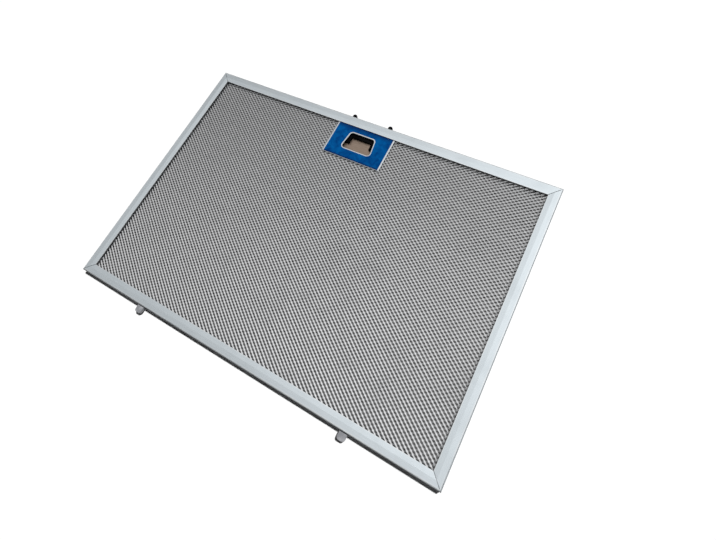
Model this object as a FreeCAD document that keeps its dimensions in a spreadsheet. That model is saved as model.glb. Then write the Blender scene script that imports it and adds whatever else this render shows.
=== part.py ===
import FreeCAD, Part
import math
import os
import Sketcher

# Cooker hood grease filter: a flat cassette of metal mesh in a folded channel frame,
# with a sprung finger latch in one long side and two locating tabs in the other.
# Origin: the middle of the plane the rear rim rests on. +X runs along the long sides,
# +Y points to the latch side, +Z points out of the front face. Millimetres.
# "In from the latch side" means measured from the frame's outer face there, inwards.
driving_sizes = {
    # folded frame
    "frame_length": 380.0,
    "frame_width": 260.0,
    "frame_depth": 9.0,
    "frame_wall": 0.8,
    "rim_flat": 6.0,            # flat outer band of the rim
    "fold_radius": 1.4,         # outside of the folds between the web and the rims
    "lip_run": 4.0,             # sloping inner band of the rim
    "lip_drop": 0.5,
    "lip_gap": 1.5,             # front lip's inner edge above the mesh
    "mitre_gap": 0.4,           # slit where two folded rims meet
    "mitre_start": 1.8,         # solid corner outside the slit
    # mesh sheets and crimped foil between them
    "mesh_thickness": 0.8,
    "mesh_edge_gap": 2.4,       # mesh border to the frame's web
    "mesh_columns": 8,
    "mesh_rows": 8,
    "strand_width": 4.0,        # at a strand's foot
    "strand_crest": 1.6,
    "hem_width": 5.0,           # front mesh's folded edge, which fills the channel under the lip
    "hem_clearance": 0.1,
    "foil_layers": 4,
    "foil_wall": 0.25,
    "foil_clearance": 0.06,
    "crimp_pitch": 15.0,
    "notch_gap": 0.4,           # cut edge of mesh and foil to the latch housing
    # handle plate
    "plate_width": 64.0,
    "plate_reach": 46.8,        # near edge, in from the latch side
    "plate_wall": 0.6,
    "plate_lip_gap": 0.2,       # panel's top under the lip's inner edge
    "plate_tuck": 4.0,          # hidden edge under the rim, in from the latch side
    "plate_corner": 1.2,
    "edge_radius": 0.45,
    "window_far": 17.2,         # finger window's edges, in from the latch side
    "window_near": 35.5,
    "window_far_width": 26.0,
    "window_near_width": 32.0,
    "window_corner": 3.0,
    "window_rim_depth": 1.3,
    # protective film on the handle plate
    "film_thickness": 0.1,
    "film_margin": 1.6,
    "film_tuck": 8.0,           # hidden edge under the rim, in from the latch side
    "film_window_margin": 1.2,
    # latch housing behind the plate
    "tray_inset": 3.0,          # housing's side to the plate's side
    "tray_wall": 0.6,
    "tray_fit": 0.2,            # housing to the frame's web and to the plate's edge
    "lug_place": 28.0,          # spring lug, in from the latch side
    "lug_width": 5.0,
    "lug_wall": 0.8,
    # sliding latch
    "latch_travel": 4.6,
    "latch_play": 0.2,          # slide above the housing floor
    "latch_headroom": 0.3,      # finger ridge below the window's rim
    "travel_clearance": 0.4,
    "bolt_offset": 20.3,
    "bolt_width": 4.5,
    "bolt_reach": 4.8,          # past the frame's outer face
    "bolt_tip_radius": 2.0,
    "bolt_clearance": 0.4,
    "bar_far": 6.0,             # crossbar's edges, in from the latch side
    "bar_clearance": 0.9,       # crossbar's end to the housing's wall
    "spring_seat": 13.0,
    "pull_edge": 21.0,          # finger hole's far edge, in from the latch side
    "pull_width": 22.0,
    "gusset_end": 28.0,
    "arm_spacing": 34.0,        # between the inner faces of the two arms
    "arm_width": 3.5,
    "finger_lap": 0.5,          # finger bar showing inside the window
    "finger_ridge": 0.6,
    # latch springs
    "spring_inset": 5.0,        # spring's axis to the housing's side
    "spring_wire": 0.4,
    "spring_turns": 6,
    "post_clearance": 0.2,
    "post_length": 3.0,
    # locating tabs
    "tab_offset": 110.0,
    "tab_width": 7.0,
    "tab_height": 3.0,
    "tab_reach": 7.0,           # past the frame's outer face
    "tab_tip_radius": 2.2,
    "tab_clearance": 0.15,
    "tab_head_margin": 2.0,
    "tab_head_wall": 1.2,
    "tab_head_gap": 1.2,        # head to the frame's rims
}

doc = FreeCAD.newDocument("grease_filter")
sheet = doc.addObject("Spreadsheet::Sheet", "sizes")
for row, (alias, value) in enumerate(driving_sizes.items(), start=1):
    sheet.set(f"A{row}", alias)
    sheet.set(f"B{row}", str(value))
    sheet.setAlias(f"B{row}", alias)
doc.recompute()


def minus(expression):
    return f"-({expression})"


def in_from_latch_side(place):
    return f"sizes.frame_width / 2 - ({place})"


def in_from_tab_side(place):
    return f"({place}) - sizes.frame_width / 2"


# Spring coils: straight runs in a turn, sides of the wire, and the sweep's mitred corners
runs_per_turn = 8
wire_sides = 6
mitred = 1

# Two places closer than this, in millimetres, are the same place
same_place = 1e-4

# Levels and places that several pieces share
rim_width = "(sizes.rim_flat + sizes.lip_run)"
half_length = "sizes.frame_length / 2"
half_width = "sizes.frame_width / 2"
mid_depth = "sizes.frame_depth / 2"
lip_underside = "(sizes.frame_depth - sizes.lip_drop - sizes.frame_wall)"
front_mesh_top = f"({lip_underside} - sizes.lip_gap)"
front_mesh_bottom = f"({front_mesh_top} - sizes.mesh_thickness)"
rear_mesh_bottom = "(sizes.lip_drop + sizes.frame_wall)"
rear_mesh_top = f"({rear_mesh_bottom} + sizes.mesh_thickness)"
mesh_inset = "(sizes.frame_wall + sizes.mesh_edge_gap)"
plate_top = f"({lip_underside} - sizes.plate_lip_gap)"
plate_underside = f"({plate_top} - sizes.plate_wall)"
window_rim_bottom = f"({plate_top} - sizes.window_rim_depth)"
half_plate = "sizes.plate_width / 2"
half_tray = f"({half_plate} - sizes.tray_inset)"
tray_floor_top = f"({rear_mesh_top} + sizes.tray_wall)"
tray_near = "(sizes.plate_reach - sizes.plate_wall - sizes.tray_fit)"
slide_bottom = f"({tray_floor_top} + sizes.latch_play)"
slide_top = f"({window_rim_bottom} - sizes.latch_headroom - sizes.finger_ridge)"
slide_height = f"({slide_top} - {slide_bottom})"
slide_middle = f"({slide_top} + {slide_bottom}) / 2"
slide_near = f"({tray_near} - sizes.tray_wall - sizes.travel_clearance - sizes.latch_travel)"
spring_place = f"({half_tray} - sizes.spring_inset)"


def new_body(label):
    body = doc.addObject("PartDesign::Body", label)
    body.Label = label
    return body


def origin_feature(body, role):
    return next(feature for feature in body.Origin.OriginFeatures if feature.Role == role)


def new_sketch(body, name, lift, role):
    sketch = body.newObject("Sketcher::SketchObject", name)
    sketch.AttachmentSupport = [(origin_feature(body, role), "")]
    sketch.MapMode = "FlatFace"
    sketch.setExpression("AttachmentOffset.Base.z", lift)
    return sketch


def pin_point(sketch, geometry, point, place):
    for kind, expression in zip(("DistanceX", "DistanceY"), place):
        index = sketch.addConstraint(Sketcher.Constraint(kind, -1, 1, geometry, point, 1.0))
        sketch.setExpression(f"Constraints[{index}]", expression)


# A sketch of closed straight-sided loops: every corner is a pair of expressions
def outline(body, name, *loops, lift="0", role="XY_Plane"):
    sketch = new_sketch(body, name, lift, role)
    for loop in loops:
        first = sketch.GeometryCount
        count = len(loop)
        turn = 2 * math.pi / count
        start = [FreeCAD.Vector(math.cos(turn * i), math.sin(turn * i), 0) for i in range(count)]
        for i in range(count):
            sketch.addGeometry(Part.LineSegment(start[i], start[(i + 1) % count]))
        for i in range(count):
            following = first + (i + 1) % count
            sketch.addConstraint(Sketcher.Constraint("Coincident", first + i, 2, following, 1))
        for i, corner in enumerate(loop):
            pin_point(sketch, first + i, 1, corner)
    return sketch


def circles(body, name, centres, radius, lift="0", role="XY_Plane"):
    sketch = new_sketch(body, name, lift, role)
    for centre in centres:
        geometry = sketch.addGeometry(Part.Circle())
        pin_point(sketch, geometry, 3, centre)
        index = sketch.addConstraint(Sketcher.Constraint("Radius", geometry, 1.0))
        sketch.setExpression(f"Constraints[{index}]", radius)
    return sketch


def rectangle(x_low, x_high, y_low, y_high):
    return [(x_low, y_low), (x_high, y_low), (x_high, y_high), (x_low, y_high)]


# A rectangle centred on X, between two places measured in from the latch side
def latch_side_rectangle(half, far_place, near_place):
    return rectangle(minus(half), half, in_from_latch_side(near_place), in_from_latch_side(far_place))


def pad(body, sketch, length, centred=False):
    feature = body.newObject("PartDesign::Pad", f"{sketch.Name}_pad")
    feature.Profile = sketch
    feature.setExpression("Length", length)
    if centred:
        feature.SideType = "Symmetric"
    doc.recompute()
    return feature


def cut(body, sketch, length=None, backwards=False):
    before = body.Tip.Shape.Volume
    feature = body.newObject("PartDesign::Pocket", f"{sketch.Name}_cut")
    feature.Profile = sketch
    if length:
        feature.setExpression("Length", length)
    else:
        feature.Type = "ThroughAll"
    feature.Reversed = backwards
    doc.recompute()
    if feature.Shape.Volume >= before:
        raise ValueError(f"{feature.Name} cuts nothing")
    return feature


def is_upright(edge):
    box = edge.BoundBox
    return box.XLength < same_place and box.YLength < same_place


def fillet(body, radius, wanted):
    base = body.Tip
    names = [f"Edge{i}" for i, edge in enumerate(base.Shape.Edges, start=1) if wanted(edge)]
    if not names:
        raise ValueError(f"no edges to round on {body.Label}")
    feature = body.newObject("PartDesign::Fillet", f"{body.Name}_round")
    feature.Base = (base, names)
    feature.setExpression("Radius", radius)
    doc.recompute()
    return feature


def number(expression):
    holder = doc.getObject("measure") or doc.addObject("App::FeaturePython", "measure")
    if "value" not in holder.PropertiesList:
        holder.addProperty("App::PropertyFloat", "value")
    holder.setExpression("value", expression)
    holder.recompute()
    return holder.value


# Folded frame: one strip with a channel section, mitred at the four corners
def build_frame():
    body = new_body("frame")
    sides = rectangle(minus(half_length), half_length, minus(half_width), half_width)
    path = outline(body, "frame_path", sides)

    def inwards(place):
        return f"{half_length} - ({place})"

    def from_front(place):
        return f"sizes.frame_depth - ({place})"

    wall, drop, flat = "sizes.frame_wall", "sizes.lip_drop", "sizes.rim_flat"
    lip_back = f"{drop} + {wall}"
    section = outline(body, "frame_section", [
        (half_length, "0"), (half_length, "sizes.frame_depth"),
        (inwards(flat), "sizes.frame_depth"), (inwards(rim_width), from_front(drop)),
        (inwards(rim_width), from_front(lip_back)), (inwards(flat), from_front(wall)),
        (inwards(wall), from_front(wall)), (inwards(wall), wall),
        (inwards(flat), wall), (inwards(rim_width), lip_back),
        (inwards(rim_width), drop), (inwards(flat), "0"),
    ], role="XZ_Plane")
    channel = body.newObject("PartDesign::AdditivePipe", "frame_channel")
    channel.Profile = section
    channel.Spine = (path, [])
    channel.Transition = "Right corner"
    doc.recompute()

    # folds between the web and the rims: the inside radius is one wall smaller than the outside one
    def fold_edges(inset):
        face_x = number(half_length) - inset
        face_y = number(half_width) - inset
        levels = (inset, number("sizes.frame_depth") - inset)

        def wanted(edge):
            box, middle = edge.BoundBox, edge.CenterOfMass
            at_fold = any(abs(box.ZMin - z) < same_place and abs(box.ZMax - z) < same_place for z in levels)
            on_web = min(abs(face_x - abs(middle.x)), abs(face_y - abs(middle.y))) < same_place
            return at_fold and on_web

        return wanted

    fillet(body, "sizes.fold_radius", fold_edges(0))
    fillet(body, f"sizes.fold_radius - {wall}", fold_edges(number(wall)))

    # a slit along each corner's diagonal, through the front and the rear rim
    side = "sizes.mitre_gap * sqrt(2) / 4"
    outer, inner = "sizes.mitre_start", f"{rim_width} + sizes.mitre_gap"
    slits = []
    for x_sign in ("", "-"):
        for y_sign in ("", "-"):
            slits.append([
                (f"{x_sign}({half_length} - ({place}) {along} {side})",
                 f"{y_sign}({half_width} - ({place}) {across} {side})")
                for place, along, across in
                ((outer, "+", "-"), (outer, "-", "+"), (inner, "-", "+"), (inner, "+", "-"))
            ])
    cut(body, outline(body, "mitre_slits", *slits), backwards=True)

    # slots in the web: two for the latch bolts, two for the tabs on the other side
    def slots(offset, half, low, high):
        return [
            rectangle(f"{sign}{offset} - ({half})", f"{sign}{offset} + ({half})", low, high)
            for sign in ("", "-")
        ]

    bolt_half = "sizes.bolt_width / 2 + sizes.bolt_clearance"
    bolt_slots = slots("sizes.bolt_offset", bolt_half,
                       f"{slide_bottom} - sizes.bolt_clearance", f"{slide_top} + sizes.bolt_clearance")
    cut(body, outline(body, "bolt_slots", *bolt_slots, role="XZ_Plane"))
    tab_half = "sizes.tab_width / 2 + sizes.tab_clearance"
    tab_rise = "(sizes.tab_height / 2 + sizes.tab_clearance)"
    tab_slots = slots("sizes.tab_offset", tab_half, f"{mid_depth} - {tab_rise}", f"{mid_depth} + {tab_rise}")
    cut(body, outline(body, "tab_slots", *tab_slots, role="XZ_Plane"), backwards=True)
    return body


# The piece cut out of the front mesh and the foil for the latch housing
def housing_notch(body, lift):
    half = f"({half_tray} + sizes.notch_gap)"
    notch = latch_side_rectangle(half, "0", f"{tray_near} + sizes.notch_gap")
    return outline(body, f"{body.Name}_notch", notch, lift=lift)


# A rectangle that keeps the same distance from all four outer faces of the frame
def inset_rectangle(inset):
    half_x = f"({half_length} - {inset})"
    half_y = f"({half_width} - {inset})"
    return rectangle(minus(half_x), half_x, minus(half_y), half_y)


# Folded edge of the front mesh, left open where the handle plate tucks under the rim
def add_hem(body):
    hem_inner = f"({mesh_inset} + sizes.hem_width)"
    edges = (inset_rectangle(mesh_inset), inset_rectangle(hem_inner))
    ring = outline(body, "hem_ring", *edges, lift=front_mesh_top)
    pad(body, ring, f"{lip_underside} - sizes.hem_clearance - {front_mesh_top}")
    plate_gap = latch_side_rectangle(f"({half_plate} + sizes.notch_gap)", "0", hem_inner)
    cut(body, outline(body, "hem_gap", plate_gap, lift=front_mesh_top), backwards=True)


# Expanded mesh: a sheet with two interleaved rows-and-columns sets of diamond gaps.
# The strands between the gaps are ridges, wide at the foot and narrow at the outer face.
def build_mesh(label, bottom, faces_front):
    body = new_body(label)
    border = outline(body, f"{label}_border", inset_rectangle(mesh_inset), lift=bottom)
    pad(body, border, "sizes.mesh_thickness")
    if faces_front:
        add_hem(body)
        cut(body, housing_notch(body, bottom), backwards=True)
    inner_face = bottom if faces_front else rear_mesh_top
    slope = "atan((sizes.strand_width - sizes.strand_crest) / 2 / sizes.mesh_thickness)"
    pitch_x = f"(({half_length} - {rim_width}) * 2 / sizes.mesh_columns)"
    pitch_y = f"(({half_width} - {rim_width}) * 2 / sizes.mesh_rows)"
    open_share = (f"(1 - sizes.strand_width * sqrt({pitch_x} * {pitch_x} + {pitch_y} * {pitch_y})"
                  f" / ({pitch_x} * {pitch_y}))")
    reach_x = f"{pitch_x} / 2 * {open_share}"
    reach_y = f"{pitch_y} / 2 * {open_share}"
    for fewer in (0, 1):
        columns = f"sizes.mesh_columns - {fewer}"
        rows = f"sizes.mesh_rows - {fewer}"
        first_x = f"-({columns} - 1) * {pitch_x} / 2"
        first_y = f"-({rows} - 1) * {pitch_y} / 2"
        diamond = outline(body, f"{label}_gap_{fewer}", [
            (f"{first_x} - {reach_x}", first_y), (first_x, f"{first_y} - {reach_y}"),
            (f"{first_x} + {reach_x}", first_y), (first_x, f"{first_y} + {reach_y}"),
        ], lift=inner_face)
        gap = cut(body, diamond, "sizes.mesh_thickness", backwards=faces_front)
        gap.setExpression("TaperAngle", slope)
        rows_of_gaps = body.newObject("PartDesign::LinearPattern", f"{label}_gaps_{fewer}")
        rows_of_gaps.Originals = [gap]
        rows_of_gaps.Direction = (origin_feature(body, "X_Axis"), [""])
        rows_of_gaps.Direction2 = (origin_feature(body, "Y_Axis"), [""])
        rows_of_gaps.setExpression("Length", f"({columns} - 1) * {pitch_x}")
        rows_of_gaps.setExpression("Length2", f"({rows} - 1) * {pitch_y}")
        rows_of_gaps.setExpression("Occurrences", columns)
        rows_of_gaps.setExpression("Occurrences2", rows)
        body.Tip = rows_of_gaps
        doc.recompute()
    return body


# Crimped foil: one pleat repeated across the sheet, along X and along Y by turns
def build_foil(layer):
    label = f"foil_layer_{layer + 1}"
    body = new_body(label)
    room = f"(({front_mesh_bottom} - {rear_mesh_top}) / sizes.foil_layers)"
    bottom = f"({rear_mesh_top} + {room} * {layer} + sizes.foil_clearance / 2)"
    crest = f"({bottom} + {room} - sizes.foil_clearance)"
    role, axis, across, along = (
        ("XZ_Plane", "X_Axis", half_length, half_width),
        ("YZ_Plane", "Y_Axis", half_width, half_length),
    )[layer % 2]
    pleats = f"floor(({across} - {mesh_inset}) * 2 / sizes.crimp_pitch)"
    start = f"(-{pleats} * sizes.crimp_pitch / 2)"
    middle = f"{start} + sizes.crimp_pitch / 2"
    end = f"{start} + sizes.crimp_pitch"
    pleat = outline(body, f"{label}_pleat", [
        (start, bottom), (middle, f"{crest} - sizes.foil_wall"), (end, bottom),
        (end, f"{bottom} + sizes.foil_wall"), (middle, crest), (start, f"{bottom} + sizes.foil_wall"),
    ], role=role)
    strip = pad(body, pleat, f"({along} - {mesh_inset}) * 2", centred=True)
    pleated = body.newObject("PartDesign::LinearPattern", f"{label}_pleats")
    pleated.Originals = [strip]
    pleated.Direction = (origin_feature(body, axis), [""])
    pleated.setExpression("Length", f"({pleats} - 1) * sizes.crimp_pitch")
    pleated.setExpression("Occurrences", pleats)
    body.Tip = pleated
    doc.recompute()
    cut(body, housing_notch(body, "0"), backwards=True)
    return body


def window_loop(margin):
    far_half = f"sizes.window_far_width / 2 + {margin}"
    near_half = f"sizes.window_near_width / 2 + {margin}"
    far_y = in_from_latch_side(f"sizes.window_far - {margin}")
    near_y = in_from_latch_side(f"sizes.window_near + {margin}")
    return [(minus(near_half), near_y), (near_half, near_y), (far_half, far_y), (minus(far_half), far_y)]


# Upright edges at the four corners of the finger window, set out by a margin
def at_window_corners(margin):
    places = [(number(x), number(y)) for x, y in window_loop(margin)]

    def wanted(edge):
        middle = edge.CenterOfMass
        near_one = any(math.hypot(middle.x - x, middle.y - y) < same_place for x, y in places)
        return is_upright(edge) and near_one

    return wanted


# An upright edge at one place along Y
def upright_at(y):
    place = number(y)
    return lambda edge: is_upright(edge) and abs(edge.CenterOfMass.y - place) < same_place


# Handle plate: a pressed panel with turned-down edges and a rimmed finger window.
# Its far edge tucks under the frame's rim, and its other edges stand on the mesh.
def build_handle_plate():
    body = new_body("handle_plate")
    panel = latch_side_rectangle(half_plate, "sizes.plate_tuck", "sizes.plate_reach")
    pad(body, outline(body, "plate_panel", panel, lift=front_mesh_top), f"{plate_top} - {front_mesh_top}")
    fillet(body, "sizes.plate_corner", upright_at(in_from_latch_side("sizes.plate_reach")))
    inside = latch_side_rectangle(f"({half_plate} - sizes.plate_wall)", "sizes.plate_tuck - sizes.plate_wall",
                                  "sizes.plate_reach - sizes.plate_wall")
    cut(body, outline(body, "plate_inside", inside, lift=front_mesh_top),
        f"{plate_underside} - {front_mesh_top}", backwards=True)
    pad(body, outline(body, "window_rim", window_loop("sizes.plate_wall"), lift=window_rim_bottom),
        "sizes.window_rim_depth - sizes.plate_wall / 2")
    cut(body, outline(body, "window", window_loop("0"), lift=window_rim_bottom), backwards=True)
    fillet(body, "sizes.window_corner", at_window_corners("0"))
    fillet(body, "sizes.window_corner + sizes.plate_wall", at_window_corners("sizes.plate_wall"))
    top = number(plate_top)
    far_y = number(in_from_latch_side("sizes.plate_tuck"))

    def on_top_rim(edge):
        box = edge.BoundBox
        level = abs(box.ZMin - top) < same_place and box.ZLength < same_place
        return level and (box.YMax < far_y - same_place or box.YLength > same_place)

    fillet(body, "sizes.edge_radius", on_top_rim)
    return body


# Film left on the handle plate, from under the rim to where the near edge turns down
def build_handle_film():
    body = new_body("handle_film")
    film = latch_side_rectangle(f"({half_plate} - sizes.film_margin)", "sizes.film_tuck",
                                "sizes.plate_reach - sizes.edge_radius")
    pad(body, outline(body, "film_sheet", film, lift=plate_top), "sizes.film_thickness")
    margin = "sizes.film_window_margin"
    cut(body, outline(body, "film_window", window_loop(margin), lift=plate_top), backwards=True)
    fillet(body, f"sizes.window_corner + {margin}", at_window_corners(margin))
    return body


# Latch housing: a folded pan behind the window, open to the frame's web, with two spring lugs
def build_latch_tray():
    body = new_body("latch_tray")
    start = "sizes.frame_wall + sizes.tray_fit"
    floor = latch_side_rectangle(half_tray, start, tray_near)
    pad(body, outline(body, "tray_floor", floor, lift=rear_mesh_top), "sizes.tray_wall")
    inner_half = f"({half_tray} - sizes.tray_wall)"
    inner_near = f"({tray_near} - sizes.tray_wall)"
    wall_half = [(half_tray, start), (half_tray, tray_near)]
    inner_side = [(inner_half, inner_near), (inner_half, start)]
    right = [(x, in_from_latch_side(y)) for x, y in wall_half]
    left = [(minus(x), y) for x, y in reversed(right)]
    inner_right = [(x, in_from_latch_side(y)) for x, y in inner_side]
    inner_left = [(minus(x), y) for x, y in reversed(inner_right)]
    walls = outline(body, "tray_walls", right + left + inner_left + inner_right, lift=tray_floor_top)
    pad(body, walls, f"{plate_underside} - {tray_floor_top}")
    lug_half = "sizes.lug_width / 2"
    lug_far = in_from_latch_side("sizes.lug_place")
    lug_near = in_from_latch_side("sizes.lug_place + sizes.lug_wall")
    lugs = [
        rectangle(f"{place} - {lug_half}", f"{place} + {lug_half}", lug_near, lug_far)
        for place in (spring_place, minus(spring_place))
    ]
    pad(body, outline(body, "spring_lugs", *lugs, lift=tray_floor_top), f"{slide_top} - {tray_floor_top}")
    return body


# Latch: a flat moulding with two bolts, a finger hole and a finger bar at its near end
def build_latch_slide():
    body = new_body("latch_slide")
    bolt_in = "sizes.bolt_offset - sizes.bolt_width / 2"
    bolt_out = "sizes.bolt_offset + sizes.bolt_width / 2"
    bar_half = f"({half_tray} - sizes.tray_wall - sizes.bar_clearance)"
    arm_in = "sizes.arm_spacing / 2"
    arm_out = f"{arm_in} + sizes.arm_width"
    tip = "-sizes.bolt_reach"
    pull_half = "sizes.pull_width / 2"
    finger_bar = "sizes.window_near - sizes.finger_lap"
    right = [(bolt_in, "sizes.bar_far"), (bolt_in, tip), (bolt_out, tip), (bolt_out, "sizes.bar_far"),
             (bar_half, "sizes.bar_far"), (bar_half, "sizes.spring_seat"), (arm_out, "sizes.spring_seat"),
             (arm_out, slide_near)]
    hole = [(pull_half, "sizes.pull_edge"), (pull_half, "sizes.gusset_end"),
            (arm_in, "sizes.gusset_end"), (arm_in, finger_bar)]

    def both_sides(half_loop):
        placed = [(x, in_from_latch_side(y)) for x, y in half_loop]
        return placed + [(minus(x), y) for x, y in reversed(placed)]

    flat = outline(body, "slide_outline", both_sides(right), both_sides(hole), lift=slide_bottom)
    pad(body, flat, slide_height)
    ridge = latch_side_rectangle(arm_in, finger_bar, slide_near)
    pad(body, outline(body, "finger_ridge", ridge, lift=slide_top), "sizes.finger_ridge")
    fillet(body, "sizes.bolt_tip_radius", upright_at(in_from_latch_side(tip)))
    posts = circles(body, "spring_posts",
                    [(f"{sign}{spring_place}", slide_middle) for sign in ("", "-")],
                    f"{slide_height} / 2 - sizes.spring_wire - sizes.post_clearance",
                    lift=minus(in_from_latch_side("sizes.spring_seat")), role="XZ_Plane")
    pad(body, posts, "sizes.post_length")
    return body


# Latch spring: an open coil along Y, from the slide's seat to the housing's lug.
# The wire is swept along short straight runs, so that the small coil stays light.
def build_latch_spring(label, side):
    wire_radius = number("sizes.spring_wire / 2")
    coil_radius = number(f"{slide_height} / 2") - wire_radius
    length = number("sizes.lug_place - sizes.spring_seat - sizes.spring_wire")
    runs = int(driving_sizes["spring_turns"] * runs_per_turn)
    turn = 2 * math.pi / runs_per_turn
    route = [
        FreeCAD.Vector(coil_radius * math.cos(turn * i), length * i / runs, coil_radius * math.sin(turn * i))
        for i in range(runs + 1)
    ]
    corners = [
        FreeCAD.Vector(wire_radius * math.cos(a), wire_radius * math.sin(a), 0)
        for a in (math.tau * i / wire_sides for i in range(wire_sides + 1))
    ]
    section = Part.makePolygon(corners)
    facing = FreeCAD.Rotation(FreeCAD.Vector(0, 0, 1), route[1] - route[0])
    section.Placement = FreeCAD.Placement(route[0], facing)
    spring = doc.addObject("Part::Feature", label)
    spring.Label = label
    spring.Shape = Part.makePolygon(route).makePipeShell([section], True, False, mitred)
    spring.setExpression("Placement.Base.x", f"{side}{spring_place}")
    spring.setExpression("Placement.Base.y", in_from_latch_side("sizes.lug_place - sizes.spring_wire / 2"))
    spring.setExpression("Placement.Base.z", slide_middle)
    doc.recompute()
    return spring


# Locating tab: a round-nosed tongue through the web, held by a head inside the channel
def build_locating_tab(label, side):
    body = new_body(label)
    middle = f"{side}sizes.tab_offset"
    half = "sizes.tab_width / 2"
    rise = "sizes.tab_height / 2"
    tongue = rectangle(f"{middle} - {half}", f"{middle} + {half}",
                       in_from_tab_side("-sizes.tab_reach"), in_from_tab_side("sizes.frame_wall"))
    pad(body, outline(body, f"{label}_tongue", tongue, lift=f"{mid_depth} - {rise}"), "sizes.tab_height")
    fillet(body, "sizes.tab_tip_radius", upright_at(in_from_tab_side("-sizes.tab_reach")))
    head_half = f"{half} + sizes.tab_head_margin"
    head_back = in_from_tab_side("sizes.frame_wall + sizes.tab_head_wall")
    head = rectangle(f"{middle} - ({head_half})", f"{middle} + ({head_half})",
                     in_from_tab_side("sizes.frame_wall"), head_back)
    head_bottom = "sizes.frame_wall + sizes.tab_head_gap"
    head_sketch = outline(body, f"{label}_head", head, lift=head_bottom)
    pad(body, head_sketch, f"sizes.frame_depth - ({head_bottom}) * 2")
    return body


parts = [build_frame()]
parts.append(build_mesh("front_mesh", front_mesh_bottom, faces_front=True))
parts.append(build_mesh("rear_mesh", rear_mesh_bottom, faces_front=False))
for layer in range(int(driving_sizes["foil_layers"])):
    parts.append(build_foil(layer))
parts.append(build_handle_plate())
parts.append(build_handle_film())
parts.append(build_latch_tray())
parts.append(build_latch_slide())
for name, side in (("left", "-"), ("right", "")):
    parts.append(build_latch_spring(f"latch_spring_{name}", side))
    parts.append(build_locating_tab(f"locating_tab_{name}", side))
doc.recompute()

for item in doc.Objects:
    if "Invalid" in item.State or "Error" in item.State:
        raise ValueError(f"{item.Name} did not rebuild: {item.State}")
for part in parts:
    if part.Shape.isNull() or not part.Shape.isValid() or len(part.Shape.Solids) != 1:
        raise ValueError(f"{part.Label} is not one valid solid")

os.makedirs("parts", exist_ok=True)
for part in parts:
    part.Shape.exportStep(f"parts/{part.Label}.step")
    box = part.Shape.BoundBox
    print(f"{part.Label}: {part.Shape.Volume:.1f} mm3, z {box.ZMin:.2f} to {box.ZMax:.2f}")
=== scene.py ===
import math
import bmesh
import bpy
from mathutils import Matrix, Quaternion, Vector


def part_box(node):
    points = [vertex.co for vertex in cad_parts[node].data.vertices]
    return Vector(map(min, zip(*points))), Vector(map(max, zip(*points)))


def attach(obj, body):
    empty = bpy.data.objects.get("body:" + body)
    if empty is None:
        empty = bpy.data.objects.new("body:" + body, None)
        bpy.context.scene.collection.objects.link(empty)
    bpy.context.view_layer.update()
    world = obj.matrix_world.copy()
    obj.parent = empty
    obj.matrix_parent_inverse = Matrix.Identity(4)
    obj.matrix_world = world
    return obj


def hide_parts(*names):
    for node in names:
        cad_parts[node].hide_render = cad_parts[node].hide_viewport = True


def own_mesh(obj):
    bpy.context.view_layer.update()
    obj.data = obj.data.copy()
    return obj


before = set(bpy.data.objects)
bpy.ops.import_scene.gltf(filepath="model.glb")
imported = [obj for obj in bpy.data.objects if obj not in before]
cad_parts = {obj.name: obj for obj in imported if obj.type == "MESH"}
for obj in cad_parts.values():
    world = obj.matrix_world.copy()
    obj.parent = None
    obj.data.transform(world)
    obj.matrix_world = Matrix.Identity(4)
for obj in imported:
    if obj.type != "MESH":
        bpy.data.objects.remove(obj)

# Cooker hood grease filter, dressed over its solids.
# Metres, +X along the long sides, +Y to the latch side, +Z out of the front face.
mm = 0.001
scene = bpy.context.scene
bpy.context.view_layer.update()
frameLow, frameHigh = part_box("frame")
print("loaded", len(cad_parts), "nodes")


# mesh helpers

edgeFinish = {
    "weld": 0.001 * mm,               # points closer than this are one point
    "flatAngle": math.radians(1),     # faces closer in angle than this are one face
    "sharpAngle": math.radians(28),   # edges sharper than this are softened
    "smoothAngle": math.radians(40),  # softened edges shade as one face up to this
    "bevelSteps": 2,
}


def solidOf(node):
    solid = bmesh.new()
    solid.from_mesh(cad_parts[node].data)
    bmesh.ops.remove_doubles(solid, verts=solid.verts, dist=edgeFinish["weld"])
    bmesh.ops.dissolve_limit(
        solid, angle_limit=edgeFinish["flatAngle"], verts=solid.verts, edges=solid.edges
    )
    return solid


def bevelEdges(solid, edges, width):
    bmesh.ops.bevel(
        solid, geom=edges, offset=width, segments=edgeFinish["bevelSteps"], profile=0.5,
        affect="EDGES", material=-1, clamp_overlap=True,
    )


def softenEdges(solid, width):
    inner = [e for e in solid.edges if len(e.link_faces) == 2]
    sharp = [e for e in inner if e.calc_face_angle() > edgeFinish["sharpAngle"]]
    bevelEdges(solid, sharp, width)


# closes holes of up to so many sides, or of any size with 0
def closeOpenEdges(solid, sides=0):
    bmesh.ops.holes_fill(solid, edges=[e for e in solid.edges if e.is_boundary], sides=sides)


def linkPiece(name, solid, body, material, node):
    mesh = bpy.data.meshes.new(name)
    solid.to_mesh(mesh)
    solid.free()
    if mesh.has_custom_normals:  # they came with the solid and don't fit the softened edges
        mesh.attributes.remove(mesh.attributes["custom_normal"])
    mesh.materials.append(material)
    piece = bpy.data.objects.new(name, mesh)
    scene.collection.objects.link(piece)
    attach(piece, body)
    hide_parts(node)
    print("made", name, "with", len(mesh.polygons), "faces")
    return piece


def shadeRounded(piece):
    piece.data.shade_smooth()
    piece.data.set_sharp_from_angle(angle=edgeFinish["smoothAngle"])
    piece.modifiers.new("evenNormals", "WEIGHTED_NORMAL").keep_sharp = True


# shader helpers

def fillSockets(tree, node, values):
    for key, value in values.items():
        if isinstance(value, bpy.types.NodeSocket):
            tree.links.new(value, node.inputs[key])
        else:
            node.inputs[key].default_value = value
    return node


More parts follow.
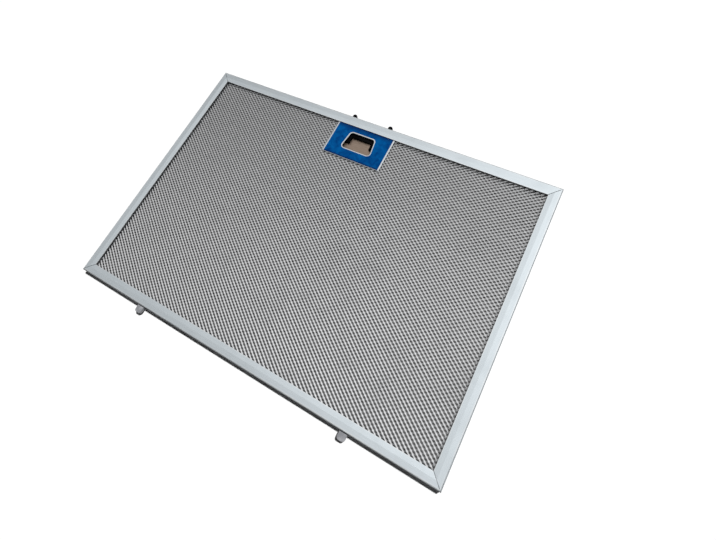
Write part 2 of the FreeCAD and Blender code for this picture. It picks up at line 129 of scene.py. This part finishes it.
def addNode(tree, kind, inputs=None, **settings):
    node = tree.nodes.new(kind)
    for key, value in settings.items():
        setattr(node, key, value)
    return fillSockets(tree, node, inputs or {})


def doMath(tree, operation, first, second=0.0):
    return addNode(tree, "ShaderNodeMath", {0: first, 1: second}, operation=operation).outputs["Value"]


# a Mix node takes plain values at its inputs 2 and 3, and colours at 6 and 7
def mixValue(tree, share, first, second):
    return addNode(tree, "ShaderNodeMix", {0: share, 2: first, 3: second}).outputs[0]


def mixColour(tree, share, first, second):
    return addNode(tree, "ShaderNodeMix", {0: share, 6: first, 7: second}, data_type="RGBA").outputs[2]


def ramp(tree, value, fromLow, fromHigh, toLow=0.0, toHigh=1.0):
    return addNode(tree, "ShaderNodeMapRange", {
        "Value": value, "From Min": fromLow, "From Max": fromHigh, "To Min": toLow, "To Max": toHigh,
    }).outputs["Result"]


def measureAlong(tree, point, way):
    node = addNode(tree, "ShaderNodeVectorMath", {0: point, 1: way}, operation="DOT_PRODUCT")
    return node.outputs["Value"]


def noiseAt(tree, point, scale, detail=2.0, distortion=0.0):
    return addNode(tree, "ShaderNodeTexNoise", {
        "Vector": point, "Scale": scale, "Detail": detail, "Distortion": distortion,
    }).outputs["Fac"]


def bumpFrom(tree, height, strength, distance, normal=None):
    inputs = {"Strength": strength, "Distance": distance, "Height": height}
    if normal:
        inputs["Normal"] = normal
    return addNode(tree, "ShaderNodeBump", inputs).outputs["Normal"]


def newMaterial(name):
    material = bpy.data.materials.new(name)
    material.use_nodes = True
    tree = material.node_tree
    point = addNode(tree, "ShaderNodeTexCoord").outputs["Object"]
    return material, tree, tree.nodes["Principled BSDF"], point


def makeGroup(name, inputs, output):
    group = bpy.data.node_groups.new(name, "ShaderNodeTree")
    for label, kind, value in inputs:
        group.interface.new_socket(label, in_out="INPUT", socket_type=kind).default_value = value
    group.interface.new_socket(output, in_out="OUTPUT", socket_type="NodeSocketFloat")
    return group, group.nodes.new("NodeGroupInput"), group.nodes.new("NodeGroupOutput")


# rolled grain: fine streaks along the way the metal was rolled
def makeRolledGrain():
    group, given, result = makeGroup("rolledGrain", [
        ("Point", "NodeSocketVector", (0.0, 0.0, 0.0)),
        ("Stretch", "NodeSocketVector", (1.0, 1.0, 1.0)),
        ("Scale", "NodeSocketFloat", 1000.0),
    ], "Streak")
    drawn = addNode(group, "ShaderNodeVectorMath", {
        0: given.outputs["Point"], 1: given.outputs["Stretch"],
    }, operation="MULTIPLY").outputs["Vector"]
    streak = noiseAt(group, drawn, given.outputs["Scale"], detail=3.0)
    group.links.new(streak, result.inputs["Streak"])
    return group


# handling marks: soft patches where the surface is duller
def makeHandlingMarks():
    softness = 0.2
    group, given, result = makeGroup("handlingMarks", [
        ("Point", "NodeSocketVector", (0.0, 0.0, 0.0)),
        ("Scale", "NodeSocketFloat", 40.0),
        ("Cover", "NodeSocketFloat", 0.5),
    ], "Mark")
    patches = noiseAt(group, given.outputs["Point"], given.outputs["Scale"], detail=5.0, distortion=0.4)
    full = doMath(group, "ADD", given.outputs["Cover"], softness)
    group.links.new(ramp(group, patches, given.outputs["Cover"], full), result.inputs["Mark"])
    return group


rolledGrain = makeRolledGrain()
handlingMarks = makeHandlingMarks()
everyWay = (1.0, 1.0, 1.0)
grainLook = {
    "low": 0.25,          # streaks under this have the dull colour
    "high": 0.75,         # and over this the bright one
    "depth": 0.05 * mm,
}


def grainOn(tree, point, stretch, scale):
    node = addNode(tree, "ShaderNodeGroup", node_tree=rolledGrain)
    return fillSockets(tree, node, {"Point": point, "Stretch": stretch, "Scale": scale}).outputs["Streak"]


def marksOn(tree, point, scale, cover=0.5):
    node = addNode(tree, "ShaderNodeGroup", node_tree=handlingMarks)
    return fillSockets(tree, node, {"Point": point, "Scale": scale, "Cover": cover}).outputs["Mark"]


def grainShare(tree, grain):
    return ramp(tree, grain, grainLook["low"], grainLook["high"])


def grainBump(tree, grain, strength, normal=None):
    return bumpFrom(tree, grain, strength, grainLook["depth"], normal)


# metal is rougher on the grain's streaks and in the marks
def metalRoughness(tree, grain, marks, finish):
    low, high = finish["roughness"]
    streaked = ramp(tree, grain, 0.0, 1.0, low, high)
    return doMath(tree, "ADD", streaked, doMath(tree, "MULTIPLY", marks, finish["markRoughness"]))


# rim aluminium: grain along each rail, a seam where the rails meet, painted highlights on the folds and
# lip edges, painted shade on the outer faces and the near side's fold
def makeRimAluminium():
    finish = {
        "dull": (0.68, 0.745, 0.785, 1.0),
        "bright": (0.82, 0.885, 0.925, 1.0),
        # painted highlight for the lip edges and beside the folds
        "edgeHighlight": (0.97, 0.99, 1.0, 1.0),
        "seam": (0.55, 0.585, 0.61, 1.0),
        # darker grey of the outer faces, partly painted shade of the side walls
        "rubbed": (0.30, 0.312, 0.325, 1.0),
        # painted shade on the near side's outer fold
        "nearShade": (0.02, 0.021, 0.023, 1.0),
        "roughness": (0.24, 0.46),
        "grainScale": 2600.0,
        "grainStretch": 0.03,
        "grainBump": 0.12,
        "markScale": 55.0,
        "markRoughness": 0.06,
        "dentScale": 18.0,         # the rails aren't quite flat
        "dentBump": 0.5,
        "dentDepth": 0.6 * mm,
        "seamHalf": 0.12 * mm,
        "seamBump": 0.5,
        "seamDepth": 0.1 * mm,
        "highlightShare": 0.95,
        "highlightLow": 0.3,            # streaks over this begin to carry the painted highlight
        "highlightHigh": 0.6,
        "lipEdge": 9.2 * mm,       # painted highlight from here to the lip's end
        "lipEnd": 9.9 * mm,
        "foldTop": 1.3 * mm,       # painted highlight beside the outer fold
        "foldHighlight": 0.6 * mm,
        "darkWallFull": 0.15 * mm,   # outer faces darker grey, partly painted shade of the side walls, fading out round the folds
        "darkWallReach": 0.6 * mm,
        "nearShadeFull": 0.3 * mm,     # painted shade on the near side's outer fold, in from its face
        "nearShadeReach": 0.8 * mm,
        "nearShadeLow": 7.0 * mm,      # and from this height up
    }
    material, tree, shader, point = newMaterial("rimAluminium")
    # how far in from the outer face, and on which rail
    axes = addNode(tree, "ShaderNodeSeparateXYZ", {"Vector": point}).outputs
    fromEnd = doMath(tree, "SUBTRACT", frameHigh.x, doMath(tree, "ABSOLUTE", axes["X"]))
    fromSide = doMath(tree, "SUBTRACT", frameHigh.y, doMath(tree, "ABSOLUTE", axes["Y"]))
    onShortRail = doMath(tree, "GREATER_THAN", fromSide, fromEnd)
    inFromFace = doMath(tree, "MINIMUM", fromSide, fromEnd)
    # grain and marks
    stretch = finish["grainStretch"]
    longGrain = grainOn(tree, point, (stretch, 1.0, 1.0), finish["grainScale"])
    shortGrain = grainOn(tree, point, (1.0, stretch, 1.0), finish["grainScale"])
    grain = mixValue(tree, onShortRail, longGrain, shortGrain)
    marks = marksOn(tree, point, finish["markScale"])
    colour = mixColour(tree, grainShare(tree, grain), finish["dull"], finish["bright"])
    # painted highlight on the lip's edge and beside the fold, broken up along the grain's streaks
    lipHighlight = ramp(tree, inFromFace, finish["lipEdge"], finish["lipEnd"])
    fromFold = doMath(tree, "ABSOLUTE", doMath(tree, "SUBTRACT", inFromFace, finish["foldTop"]))
    foldHighlight = ramp(tree, fromFold, finish["foldHighlight"], 0.0)
    highlightStreaks = ramp(tree, grain, finish["highlightLow"], finish["highlightHigh"])
    highlight = doMath(tree, "MULTIPLY", doMath(tree, "MAXIMUM", lipHighlight, foldHighlight), highlightStreaks)
    colour = mixColour(tree, doMath(tree, "MULTIPLY", highlight, finish["highlightShare"]), colour, finish["edgeHighlight"])
    # mitre seams
    fromSeam = doMath(tree, "ABSOLUTE", doMath(tree, "SUBTRACT", fromEnd, fromSide))
    seam = ramp(tree, fromSeam, finish["seamHalf"], 2 * finish["seamHalf"], 1.0, 0.0)
    colour = mixColour(tree, seam, colour, finish["seam"])
    # outer faces darker grey, partly as painted shade of the side walls, and painted shade on the near
    # side's outer fold
    rubbed = ramp(tree, inFromFace, finish["darkWallFull"], finish["darkWallReach"], 1.0, 0.0)
    colour = mixColour(tree, rubbed, colour, finish["rubbed"])
    # painted shade along the near side's fold, from near its top down
    fromNearFace = doMath(tree, "SUBTRACT", axes["Y"], frameLow.y)
    nearFace = ramp(tree, fromNearFace, finish["nearShadeFull"], finish["nearShadeReach"], 1.0, 0.0)
    nearTop = ramp(tree, axes["Z"], finish["nearShadeLow"], frameHigh.z - finish["nearShadeReach"])
    nearShade = doMath(tree, "MULTIPLY", nearFace, nearTop)
    colour = mixColour(tree, nearShade, colour, finish["nearShade"])
    # dents, grooved seams and grain
    wave = noiseAt(tree, point, finish["dentScale"], detail=1.0)
    dents = bumpFrom(tree, wave, finish["dentBump"], finish["dentDepth"])
    grooved = bumpFrom(tree, seam, finish["seamBump"], -finish["seamDepth"], dents)
    fillSockets(tree, shader, {
        "Base Color": colour,
        "Metallic": 1.0,
        "Roughness": metalRoughness(tree, grain, marks, finish),
        "Normal": grainBump(tree, grain, finish["grainBump"], grooved),
    })
    return material


# bare metal: grain and handling marks in one finish's colours
def makeMetal(name, finish):
    material, tree, shader, point = newMaterial(name)
    grain = grainOn(tree, point, finish["grainStretch"], finish["grainScale"])
    marks = marksOn(tree, point, finish["markScale"])
    fillSockets(tree, shader, {
        "Base Color": mixColour(tree, grainShare(tree, grain), finish["dull"], finish["bright"]),
        "Metallic": 1.0,
        "Roughness": metalRoughness(tree, grain, marks, finish),
        "Normal": grainBump(tree, grain, finish["grainBump"]),
    })
    return material


# moulded plastic: fine spark texture and slightly paler rubbed patches
def makePlastic(name, finish):
    material, tree, shader, point = newMaterial(name)
    spark = grainOn(tree, point, everyWay, finish["sparkScale"])
    marks = marksOn(tree, point, finish["markScale"], finish["markCover"])
    low, high = finish["roughness"]
    fillSockets(tree, shader, {
        "Base Color": mixColour(tree, marks, finish["dull"], finish["rubbed"]),
        "Roughness": ramp(tree, spark, 0.0, 1.0, low, high),
        "Specular IOR Level": finish["specular"],
        "Normal": grainBump(tree, spark, finish["sparkBump"]),
    })
    return material


# blue film: stretched over the plate, with trapped bubbles and creases, and painted shade where it
# tucks under the rim's lip and along the plate's near edge
def makeBlueFilm():
    finish = {
        "deep": (0.0008, 0.032, 0.145, 1.0),
        "clear": (0.0014, 0.084, 0.275, 1.0),
        # painted shade under the lip and along the near edge
        "shadedBlue": (0.004, 0.012, 0.06, 1.0),
        "roughness": (0.32, 0.5),
        "specular": 0.03,
        "noiseLow": 0.3,           # patches and creases run from this part of their noise
        "noiseHigh": 0.7,          # to this
        "patchScale": 160.0,
        "creaseScale": 260.0,
        "creaseBump": 0.5,
        "creaseDepth": 0.12 * mm,
        "bubbleScale": 520.0,
        "bubbleRound": 0.35,
        "bubbleBump": 0.25,
        "bubbleDepth": 0.06 * mm,
        "lipEnd": 10.0 * mm,       # the rim's lip ends here, in from the outer face
        "lipShadeFade": 5.0 * mm,      # painted shade this far from the lip
        "shadeShare": 0.8,
        "edgeFull": 0.8 * mm,      # and painted shade along the plate's near edge
        "edgeFade": 1.8 * mm,
    }
    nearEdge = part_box("handle_film")[0].y
    lipEdge = frameHigh.y - finish["lipEnd"]
    low, high = finish["noiseLow"], finish["noiseHigh"]
    smooth, rough = finish["roughness"]
    material, tree, shader, point = newMaterial("blueFilm")
    side = addNode(tree, "ShaderNodeSeparateXYZ", {"Vector": point}).outputs["Y"]
    patches = noiseAt(tree, point, finish["patchScale"], detail=3.0, distortion=0.8)
    creases = noiseAt(tree, point, finish["creaseScale"], detail=3.0, distortion=2.0)
    bubbles = addNode(tree, "ShaderNodeTexVoronoi", {
        "Vector": point, "Scale": finish["bubbleScale"],
    }).outputs["Distance"]
    domes = ramp(tree, bubbles, 0.0, finish["bubbleRound"], 1.0, 0.0)
    underLip = ramp(tree, side, lipEdge - finish["lipShadeFade"], lipEdge)
    atEdge = ramp(tree, side, nearEdge + finish["edgeFull"], nearEdge + finish["edgeFade"], 1.0, 0.0)
    paintedShade = doMath(tree, "MULTIPLY", doMath(tree, "MAXIMUM", underLip, atEdge), finish["shadeShare"])
    colour = mixColour(tree, ramp(tree, patches, low, high), finish["deep"], finish["clear"])
    creased = bumpFrom(tree, creases, finish["creaseBump"], finish["creaseDepth"])
    fillSockets(tree, shader, {
        "Base Color": mixColour(tree, paintedShade, colour, finish["shadedBlue"]),
        "Roughness": ramp(tree, creases, low, high, smooth, rough),
        "Specular IOR Level": finish["specular"],
        "Normal": bumpFrom(tree, domes, finish["bubbleBump"], finish["bubbleDepth"], creased),
    })
    return material


rimAluminium = makeRimAluminium()
# foil aluminium painted dark: painted shade of the pack's inside, seen through the mesh
shadedFoilAluminium = makeMetal("shadedFoilAluminium", {
    "dull": (0.15, 0.15, 0.15, 1.0), "bright": (0.28, 0.28, 0.28, 1.0), "roughness": (0.45, 0.65),
    "grainScale": 500.0, "grainStretch": everyWay, "grainBump": 0.6,
    "markScale": 60.0, "markRoughness": 0.08,
})
plateSteel = makeMetal("plateSteel", {
    "dull": (0.68, 0.72, 0.75, 1.0), "bright": (0.84, 0.88, 0.91, 1.0), "roughness": (0.18, 0.32),
    "grainScale": 2600.0, "grainStretch": (0.05, 1.0, 1.0), "grainBump": 0.2,
    "markScale": 60.0, "markRoughness": 0.08,
})
traySteel = makeMetal("traySteel", {
    "dull": (0.34, 0.255, 0.20, 1.0), "bright": (0.48, 0.38, 0.31, 1.0), "roughness": (0.4, 0.6),
    "grainScale": 1500.0, "grainStretch": (0.08, 1.0, 1.0), "grainBump": 0.2,
    "markScale": 90.0, "markRoughness": 0.08,
})
springSteel = makeMetal("springSteel", {
    "dull": (0.45, 0.45, 0.47, 1.0), "bright": (0.6, 0.6, 0.62, 1.0), "roughness": (0.25, 0.35),
    "grainScale": 4000.0, "grainStretch": everyWay, "grainBump": 0.2,
    "markScale": 300.0, "markRoughness": 0.08,
})
# black plastic, its colour and gloss lowered further as painted shade of the latch's recess
shadedLatchPlastic = makePlastic("shadedLatchPlastic", {
    "dull": (0.0015, 0.0015, 0.0018, 1.0), "rubbed": (0.004, 0.004, 0.0045, 1.0),
    "roughness": (0.55, 0.72), "specular": 0.02,
    "sparkScale": 3000.0, "sparkBump": 0.3, "markScale": 150.0, "markCover": 0.45,
})
tabPlastic = makePlastic("tabPlastic", {
    "dull": (0.22, 0.225, 0.24, 1.0), "rubbed": (0.36, 0.365, 0.38, 1.0),
    "roughness": (0.38, 0.54), "specular": 0.5,
    "sparkScale": 3000.0, "sparkBump": 0.3, "markScale": 150.0, "markCover": 0.45,
})
blueFilm = makeBlueFilm()


# expanded mesh: diamonds slit and stretched from one sheet, so that one way the strands stand as
# tilted ridges, and the other way narrow strands climb from one ridge to the next
expandedMesh = {
    "longWay": 4.75 * mm,     # diamond's length along the long sides
    "shortWay": 3.45 * mm,
    "ridgeWidth": 1.05 * mm,
    "crossWidth": 1.5 * mm,
    "tilt": 0.2 * mm,         # a ridge's far edge lies this far under its middle
    "strandWeld": 0.01 * mm,  # strands' ends closer than this are joined
    "strandSides": 4,         # a strand's cut end has no more sides
    "notchSide": 29.5 * mm,   # kept clear for the latch housing
    "notchReach": 46.3 * mm,
    "hemLift": 0.02 * mm,     # the hem's cut, over the mesh
    "hemRound": 0.3 * mm,
}


def cellCounts(node):
    low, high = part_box(node)
    columns = int((high.x - low.x) / expandedMesh["longWay"])
    rows = int((high.y - low.y) / expandedMesh["shortWay"])
    return columns, rows


def waveAlong(tree, point, way, start):
    return doMath(tree, "COSINE", doMath(tree, "ADD", measureAlong(tree, point, way), start))


# mesh aluminium: bare metal, with painted highlight where the strands join and painted shade on the
# strands between the ridges
def makeMeshAluminium():
    finish = {
        "dull": (0.50, 0.505, 0.515, 1.0),
        "bright": (0.95, 0.955, 0.965, 1.0),
        # painted shade of the strands between the ridges
        "between": (0.44, 0.444, 0.452, 1.0),
        "joinShare": 0.42,         # the joins' part in the colour, against the grain's
        "betweenFull": -0.5,       # the wave across is 1 on a ridge and -1 midway to the next
        "betweenEnd": 0.35,
        "roughness": (0.28, 0.48),
        "grainScale": 900.0,
        "grainBump": 0.2,
        "markScale": 45.0,
        "markRoughness": 0.08,
    }
    material, tree, shader, point = newMaterial("meshAluminium")
    # waves that peak on the joins of a ridge, and on the ridges
    columns, rows = cellCounts("front_mesh")
    turnLong = math.tau / expandedMesh["longWay"]
    turnShort = math.tau / expandedMesh["shortWay"]
    joinStart = math.pi * (rows - columns)
    ridgeStart = math.pi * (rows + columns - 1)
    joins = waveAlong(tree, point, Vector((turnLong, -turnShort, 0)), joinStart)
    ridges = waveAlong(tree, point, Vector((turnLong, turnShort, 0)), ridgeStart)
    grain = grainOn(tree, point, everyWay, finish["grainScale"])
    marks = marksOn(tree, point, finish["markScale"])
    # painted highlight on the joins
    joinHighlight = ramp(tree, joins, -1.0, 1.0)
    shine = mixValue(tree, finish["joinShare"], grainShare(tree, grain), joinHighlight)
    # painted shade between the ridges
    between = ramp(tree, ridges, finish["betweenFull"], finish["betweenEnd"], 1.0, 0.0)
    strands = mixColour(tree, shine, finish["dull"], finish["bright"])
    fillSockets(tree, shader, {
        "Base Color": mixColour(tree, between, strands, finish["between"]),
        "Metallic": 1.0,
        "Roughness": metalRoughness(tree, grain, marks, finish),
        "Normal": grainBump(tree, grain, finish["grainBump"]),
    })
    return material


meshAluminium = makeMeshAluminium()
print("materials done")


# one join of the strands, with the strand up to the next ridge and the strand down its own ridge
def meshCell(solid, middle, root):
    size = expandedMesh
    upStep = Vector((size["longWay"] / 2, size["shortWay"] / 2, 0))
    downStep = Vector((upStep.x, -upStep.y, 0))
    along = downStep.normalized() * size["crossWidth"] / 2
    across = Vector((upStep.y, upStep.x, 0)).normalized() * size["ridgeWidth"] / 2
    across.z = -size["tilt"]
    far = across - along
    right = across + along
    foot = Vector((0, 0, -root))

    def put(start, *offsets):
        return [solid.verts.new(start + offset) for offset in offsets]

    farHere, rightHere, nearHere, leftHere, footHere = put(middle, far, right, -far, -right, foot)
    leftUp, nearUp, footUp = put(middle + upStep, -right, -far, foot)
    farDown, leftDown, footDown = put(middle + downStep, far, -right, foot)
    for corners in (
        (farHere, leftHere, nearHere, rightHere),
        (rightHere, nearUp, leftUp, farHere),
        (nearUp, rightHere, footHere, footUp),
        (farHere, leftUp, footUp, footHere),
        (nearHere, leftDown, farDown, rightHere),
        (leftDown, nearHere, footHere, footDown),
        (rightHere, farDown, footDown, footHere),
    ):
        solid.faces.new(corners)


# two cells, half a diamond apart, repeated over a sheet and centred, with the ridges' middle at z = 0
def repeatCells(columns, rows, root):
    size = expandedMesh
    cell = bmesh.new()
    meshCell(cell, Vector((0, 0, 0)), root)
    meshCell(cell, Vector((size["longWay"] / 2, size["shortWay"] / 2, 0)), root)
    cellPoints = len(cell.verts) // 2
    mesh = bpy.data.meshes.new("cell")
    cell.to_mesh(mesh)
    cell.free()
    holder = bpy.data.objects.new("cell", mesh)
    scene.collection.objects.link(holder)
    for count, step in ((columns, (size["longWay"], 0, 0)), (rows, (0, size["shortWay"], 0))):
        array = holder.modifiers.new("array", "ARRAY")
        array.count = count
        array.use_relative_offset = False
        array.use_constant_offset = True
        array.constant_offset_displace = step
    sheet = bmesh.new()
    sheet.from_object(holder, bpy.context.evaluated_depsgraph_get())
    bpy.data.objects.remove(holder)
    bpy.data.meshes.remove(mesh)
    start = Vector((-(columns - 0.5) * size["longWay"] / 2, -(rows - 0.5) * size["shortWay"] / 2, 0))
    bmesh.ops.translate(sheet, verts=sheet.verts, vec=start)
    return sheet, cellPoints


# whole cells go, so that no strand is left hanging into the notch
def clearNotch(sheet, cellPoints):
    size = expandedMesh
    points = list(sheet.verts)
    inNotch = []
    notchEdge = frameHigh.y - size["notchReach"]
    for first in range(0, len(points), cellPoints):
        cell = points[first:first + cellPoints]
        if any(abs(v.co.x) < size["notchSide"] and v.co.y > notchEdge for v in cell):
            inNotch += cell
    bmesh.ops.delete(sheet, geom=inNotch, context="VERTS")


# the sheet's folded edge, cut from the solid just over the mesh
def addHem(sheet, meshTop):
    size = expandedMesh
    hem = solidOf("front_mesh")
    cut = Vector((0, 0, meshTop + size["hemLift"]))
    bmesh.ops.bisect_plane(
        hem, geom=hem.verts[:] + hem.edges[:] + hem.faces[:], dist=edgeFinish["weld"],
        plane_co=cut, plane_no=(0, 0, 1), clear_inner=True,
    )
    closeOpenEdges(hem)
    softenEdges(hem, size["hemRound"])
    holder = bpy.data.meshes.new("hem")
    hem.to_mesh(holder)
    hem.free()
    sheet.from_mesh(holder)
    bpy.data.meshes.remove(holder)


def makeExpandedMesh(name, node, faceUp):
    size = expandedMesh
    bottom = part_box(node)[0].z
    rearLow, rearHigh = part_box("rear_mesh")
    thickness = rearHigh.z - rearLow.z
    columns, rows = cellCounts(node)
    sheet, cellPoints = repeatCells(columns, rows, thickness - size["tilt"])
    print(node, "has", columns, "by", rows, "diamonds")
    if faceUp:
        clearNotch(sheet, cellPoints)
    bmesh.ops.remove_doubles(sheet, verts=sheet.verts, dist=size["strandWeld"])
    closeOpenEdges(sheet, size["strandSides"])
    if faceUp:
        meshTop = bottom + thickness
        bmesh.ops.translate(sheet, verts=sheet.verts, vec=Vector((0, 0, meshTop - size["tilt"])))
        addHem(sheet, meshTop)
    else:
        bmesh.ops.scale(sheet, verts=sheet.verts, vec=Vector((1, 1, -1)))
        bmesh.ops.reverse_faces(sheet, faces=sheet.faces)
        bmesh.ops.translate(sheet, verts=sheet.verts, vec=Vector((0, 0, bottom + size["tilt"])))
    piece = linkPiece(name, sheet, "cassette", meshAluminium, node)
    piece.data.shade_flat()


makeExpandedMesh("front_sheet", "front_mesh", True)
makeExpandedMesh("rear_sheet", "rear_mesh", False)

# rim: the folded channel with its lip lines and cut edges softened
rimShape = {
    "edgeRound": 0.2 * mm,
    "lipLine": 6.0 * mm,         # the lip turns down here, in from the outer face
    "lipLineSpread": 0.2 * mm,
    "lipLineRound": 0.5 * mm,
}


def insetOf(point):
    return min(frameHigh.x - abs(point.x), frameHigh.y - abs(point.y))


def makeRim():
    size = rimShape
    rim = solidOf("frame")
    softenEdges(rim, size["edgeRound"])
    lipLines = [
        e for e in rim.edges
        if all(abs(insetOf(v.co) - size["lipLine"]) < size["lipLineSpread"] for v in e.verts)
    ]
    bevelEdges(rim, lipLines, size["lipLineRound"])
    shadeRounded(linkPiece("rim", rim, "cassette", rimAluminium, "frame"))


makeRim()

# latch and locating pieces: the solids, with their edges softened by the last size
softPieces = {
    "plate": ("handle_plate", "cassette", "plate_steel", plateSteel, 0.15 * mm),
    "film": ("handle_film", "cassette", "blue_film", blueFilm, 0.03 * mm),
    "housing": ("latch_tray", "cassette", "tray_steel", traySteel, 0.12 * mm),
    "slide": ("latch_slide", "latch", "latch_plastic", shadedLatchPlastic, 0.25 * mm),
    "tab_left": ("locating_tab_left", "cassette", "tab_plastic", tabPlastic, 0.3 * mm),
    "tab_right": ("locating_tab_right", "cassette", "tab_plastic", tabPlastic, 0.3 * mm),
}
for name, (node, body, slot, material, edgeRound) in softPieces.items():
    solid = solidOf(node)
    softenEdges(solid, edgeRound)
    shadeRounded(linkPiece(name, solid, body, material, node))

# latch springs: round wire wound from the housing's lug to the slide's seat
coil = {
    "turns": 6,
    "wire": 0.4 * mm,
    "wireSides": 10,
    "stepsPerTurn": 20,
}


def makeCoil(name, node):
    size = coil
    low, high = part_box(node)
    middle = (low + high) / 2
    length = high.y - low.y
    wireRadius = size["wire"] / 2
    radius = (high.z - low.z) / 2 - wireRadius
    steps = size["turns"] * size["stepsPerTurn"]
    rise = (length - size["wire"]) / steps
    solid = bmesh.new()
    bmesh.ops.create_circle(solid, segments=size["wireSides"], radius=wireRadius,
                            matrix=Matrix.Translation((radius, 0, 0)))
    bmesh.ops.spin(solid, geom=solid.verts[:] + solid.edges[:], axis=(0, 1, 0), dvec=(0, rise, 0),
                   angle=size["turns"] * math.tau, steps=steps)
    closeOpenEdges(solid)
    bmesh.ops.recalc_face_normals(solid, faces=solid.faces)
    bmesh.ops.translate(solid, verts=solid.verts, vec=Vector((middle.x, low.y + wireRadius, middle.z)))
    piece = linkPiece(name, solid, "cassette", springSteel, node)
    shadeRounded(piece)
    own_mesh(piece)


makeCoil("coil_left", "latch_spring_left")
makeCoil("coil_right", "latch_spring_right")

# crimped foil layers keep their solids
for layer in ("foil_layer_1", "foil_layer_2", "foil_layer_3", "foil_layer_4"):
    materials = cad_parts[layer].data.materials
    materials.clear()
    materials.append(shadedFoilAluminium)
print("pieces done")

# camera: above the near right corner, looking down across the filter
cameraSetup = {
    "place": Vector((0.1663, -0.0836, 0.3846)),
    "aim": Vector((0.0235, 0.0347, 0.0090)),
    "roll": math.radians(24.05),
    "lens": 22.58,
    "shift": (0.0161, -0.0843),
    "clipStart": 0.01,
}
eye = bpy.data.objects.new("eye", bpy.data.cameras.new("eye"))
scene.collection.objects.link(eye)
eye.location = cameraSetup["place"]
turned = (cameraSetup["aim"] - cameraSetup["place"]).to_track_quat("-Z", "Y")
eye.rotation_mode = "QUATERNION"
eye.rotation_quaternion = turned @ Quaternion((0, 0, 1), -cameraSetup["roll"])
eye.data.lens = cameraSetup["lens"]
eye.data.shift_x, eye.data.shift_y = cameraSetup["shift"]
eye.data.clip_start = cameraSetup["clipStart"]
scene.camera = eye

# studio: pale floor, a room with soft boxes overhead and dimmer walls, and a soft key from the far right
studio = {
    "floorHalf": 12.0,
    "floorDrop": 0.05 * mm,
    "floorColour": (0.9, 0.9, 0.9, 1.0),
    "roomLevel": 0.55,
    # soft boxes: the side they stand on, how sharply they fade and their strength
    "softBoxes": (
        (Vector((0.10, 0.26, 0.96)), 6.2, 0.47),
        (Vector((0.30, 0.60, 0.74)), 12.0, 0.45),
        (Vector((0.03, -0.11, 0.99)), 24.0, 0.17),
    ),
    # dim strips of the room: the side they are measured to, how far to it their middle lies,
    # half their width, where they have faded out, and how dim they are
    "dimStrips": (
        (Vector((0, 0, 1)), -1.0, 1.1, 1.55, 0.12),       # walls
        (Vector((0, 1, 0)), -0.45, 0.05, 0.25, 0.25),     # near side
        (Vector((0.5, -0.85, 0)), -0.8, 0.0, 0.25, 0.5),  # far left
    ),
    "roomFill": 0.03,  # share of the room's light that falls on matt surfaces
    "keySide": Vector((0.25, 0.35, 0.85)),
    "keyAngle": math.radians(5),
    "keyStrength": 3.95,
}


def makeFloor():
    grid = bmesh.new()
    bmesh.ops.create_grid(grid, x_segments=1, y_segments=1, size=studio["floorHalf"],
                          matrix=Matrix.Translation((0, 0, -studio["floorDrop"])))
    mesh = bpy.data.meshes.new("floor")
    grid.to_mesh(mesh)
    grid.free()
    floor = bpy.data.objects.new("floor", mesh)
    scene.collection.objects.link(floor)
    paint = bpy.data.materials.new("floorPaint")
    paint.use_nodes = True
    tree = paint.node_tree
    tree.nodes.clear()
    matt = addNode(tree, "ShaderNodeBsdfDiffuse", {"Color": studio["floorColour"]}).outputs["BSDF"]
    addNode(tree, "ShaderNodeOutputMaterial", {"Surface": matt})
    mesh.materials.append(paint)


def makeRoom():
    world = bpy.data.worlds.new("room")
    scene.world = world
    world.use_nodes = True
    tree = world.node_tree
    tree.nodes.clear()
    direction = addNode(tree, "ShaderNodeTexCoord").outputs["Generated"]
    level = studio["roomLevel"]
    for side, power, boxLevel in studio["softBoxes"]:
        facing = doMath(tree, "MAXIMUM", measureAlong(tree, direction, side.normalized()), 0.0)
        box = doMath(tree, "MULTIPLY", doMath(tree, "POWER", facing, power), boxLevel)
        level = doMath(tree, "ADD", level, box)
    for side, middle, half, reach, dimLevel in studio["dimStrips"]:
        facing = measureAlong(tree, direction, side)
        away = doMath(tree, "ABSOLUTE", doMath(tree, "SUBTRACT", facing, middle))
        level = doMath(tree, "MULTIPLY", level, ramp(tree, away, half, reach, dimLevel, 1.0))
    path = addNode(tree, "ShaderNodeLightPath").outputs
    mirrored = doMath(tree, "MAXIMUM", path["Is Glossy Ray"], path["Is Transmission Ray"])
    share = ramp(tree, mirrored, 0.0, 1.0, studio["roomFill"], 1.0)
    lit = doMath(tree, "MULTIPLY", level, share)
    strength = mixValue(tree, path["Is Camera Ray"], lit, 1.0)
    background = addNode(tree, "ShaderNodeBackground", {
        "Color": (1.0, 1.0, 1.0, 1.0), "Strength": strength,
    }).outputs["Background"]
    addNode(tree, "ShaderNodeOutputWorld", {"Surface": background})
    world.cycles.sampling_method = "NONE"  # the level depends on the kind of ray


def makeKey():
    lamp = bpy.data.lights.new("key", "SUN")
    lamp.energy = studio["keyStrength"]
    lamp.angle = studio["keyAngle"]
    key = bpy.data.objects.new("key", lamp)
    scene.collection.objects.link(key)
    key.rotation_mode = "QUATERNION"
    key.rotation_quaternion = (-studio["keySide"]).to_track_quat("-Z", "Y")
    key.visible_glossy = False  # metal shows the room instead


makeFloor()
makeRoom()
makeKey()
print("camera and studio done")

scene.view_settings.view_transform = "Standard"
print("scene done")
